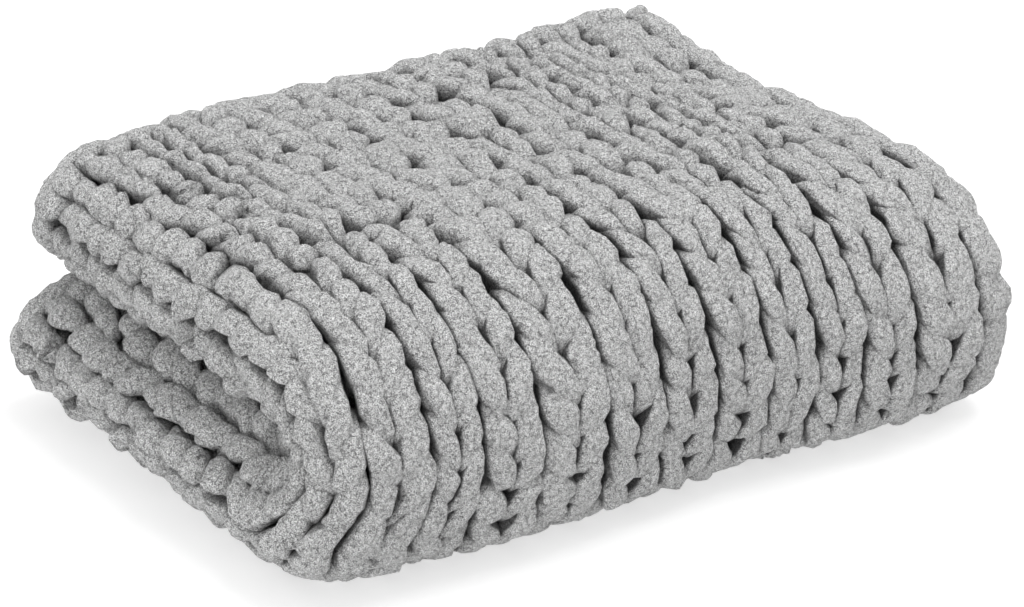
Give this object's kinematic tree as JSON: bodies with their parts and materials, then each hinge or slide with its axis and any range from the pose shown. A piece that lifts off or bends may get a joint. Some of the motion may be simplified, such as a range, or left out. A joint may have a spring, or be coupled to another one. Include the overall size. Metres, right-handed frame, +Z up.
{
  "type": "chunky knit blanket",
  "caption": "Chunky hand-knitted chenille blanket in stocking stitch, folded lengthways and then over itself into a soft pile with a round front.",
  "frame": {"origin": "bottom centre of the folded pile's box, on the surface that it rests on", "axes": "+X along the round front fold, away from the hairpin end; +Y from the front fold to the open back; +Z up"},
  "size_m": [0.5472, 0.3946, 0.1881],
  "materials": {
    "knit": "soft matt chenille pile, mid grey"
  },
  "bodies": {
    "root": {"blanket": "knit"}
  },
  "joints": []
}
